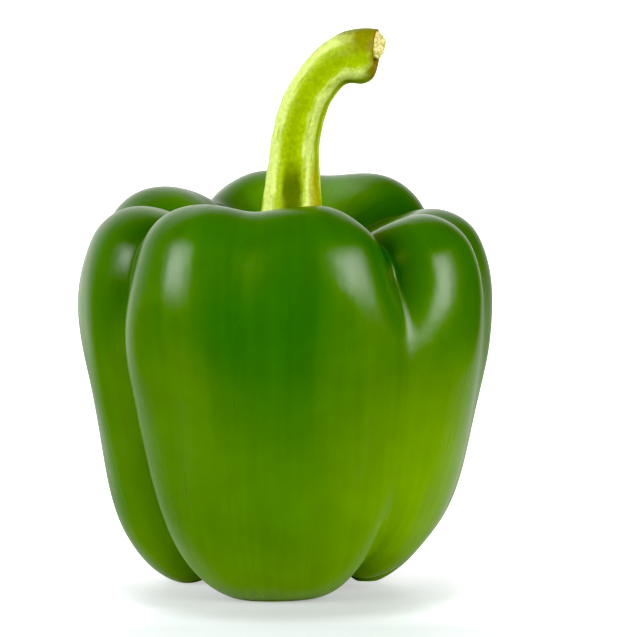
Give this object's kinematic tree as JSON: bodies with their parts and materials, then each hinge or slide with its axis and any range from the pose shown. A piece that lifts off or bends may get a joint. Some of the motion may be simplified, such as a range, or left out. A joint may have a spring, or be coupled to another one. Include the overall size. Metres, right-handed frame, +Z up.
{
  "type": "bell pepper",
  "caption": "Whole green bell pepper standing on the tips of its blunt lobes, with a hollow crown and a thick curved stem whose calyx lies in it.",
  "frame": {"origin": "middle of the bounding box, on the surface the pepper stands on", "axes": "+Z up along the growth axis, +X to the side the stem bends to, -Y towards the front lobe"},
  "size_m": [0.09, 0.0881, 0.1218],
  "materials": {
    "skin": "smooth waxy green skin with a soft shine",
    "stalk": "yellow-green, lightly ribbed and nearly matt"
  },
  "bodies": {
    "root": {"fruit": "skin", "stem": "stalk"}
  },
  "joints": []
}
